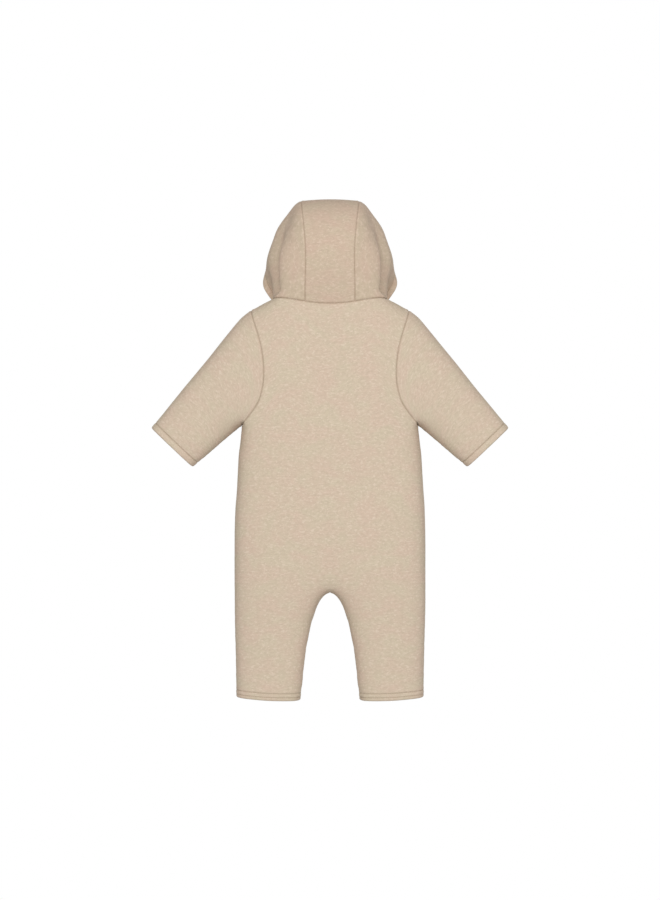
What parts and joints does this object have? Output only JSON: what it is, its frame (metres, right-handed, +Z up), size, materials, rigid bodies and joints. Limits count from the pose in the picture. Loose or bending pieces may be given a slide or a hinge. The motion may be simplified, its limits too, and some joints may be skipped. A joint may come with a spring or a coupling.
{
  "type": "hooded baby coverall",
  "caption": "Hooded one-piece baby suit in brushed fleece with set-in sleeves, short legs, a three-panel hood, turned hems and a centre-front coil zip.",
  "frame": {"origin": "the top edge of the hanger loop at the inside of the back neck, where a hook carries it", "axes": "+Z up, the wearer faces -Y, the wearer's left is +X"},
  "size_m": [0.4998, 0.134, 0.7017],
  "materials": {
    "fleece": "beige heather brushed fleece, matt",
    "tape": "beige woven tape, matt",
    "coil": "dyed nylon coil",
    "zip_metal": "satin nickel",
    "label": "plain off-white satin label, no print"
  },
  "bodies": {
    "torso": {"back_panel": "fleece", "front_left_panel": "fleece", "front_right_panel": "fleece", "zip_guard": "fleece", "back_neck_tape": "tape", "hanger_loop": "tape", "size_label": "label", "care_label": "label", "zip_tape_left": "tape", "zip_tape_right": "tape", "zip_coil_left": "coil", "zip_coil_right": "coil", "zip_top_stop_left": "zip_metal", "zip_top_stop_right": "zip_metal", "zip_bottom_stop": "zip_metal"},
    "hood": {"hood_center_panel": "fleece", "hood_left_panel": "fleece", "hood_right_panel": "fleece", "hood_hem": "fleece"},
    "left_sleeve": {"left_sleeve": "fleece", "left_cuff_hem": "fleece"},
    "right_sleeve": {"right_sleeve": "fleece", "right_cuff_hem": "fleece"},
    "left_leg": {"left_leg_back": "fleece", "left_leg_front": "fleece", "left_leg_hem": "fleece"},
    "right_leg": {"right_leg_back": "fleece", "right_leg_front": "fleece", "right_leg_hem": "fleece"},
    "zip_slider": {"zip_slider": "zip_metal"},
    "zip_pull": {"zip_pull": "zip_metal"}
  },
  "joints": [
    {"name": "hood_fold", "type": "hinge", "parent": "torso", "child": "hood", "pos_m": [0, 0.0171, 0.0056], "axis": [-1, 0, 0], "range_deg": [0, 135]},
    {"name": "left_sleeve_raise", "type": "hinge", "parent": "torso", "child": "left_sleeve", "pos_m": [0.1102, -0.0275, -0.0028], "axis": [0, -1, 0], "range_deg": [0, 40]},
    {"name": "right_sleeve_raise", "type": "hinge", "parent": "torso", "child": "right_sleeve", "pos_m": [-0.1102, -0.0275, -0.0028], "axis": [0, 1, 0], "range_deg": [0, 40]},
    {"name": "left_leg_fold", "type": "hinge", "parent": "torso", "child": "left_leg", "pos_m": [0.086, -0.0626, -0.3971], "axis": [-1, 0, 0], "range_deg": [0, 80]},
    {"name": "right_leg_fold", "type": "hinge", "parent": "torso", "child": "right_leg", "pos_m": [-0.086, -0.0626, -0.3971], "axis": [-1, 0, 0], "range_deg": [0, 80]},
    {"name": "zip_slide", "type": "slide", "parent": "torso", "child": "zip_slider", "axis": [0, 0, -1], "range_m": [0, 0.288]},
    {"name": "zip_pull_swing", "type": "hinge", "parent": "zip_slider", "child": "zip_pull", "pos_m": [0, -0.0651, -0.0367], "axis": [-1, 0, 0], "range_deg": [0, 170]}
  ]
}
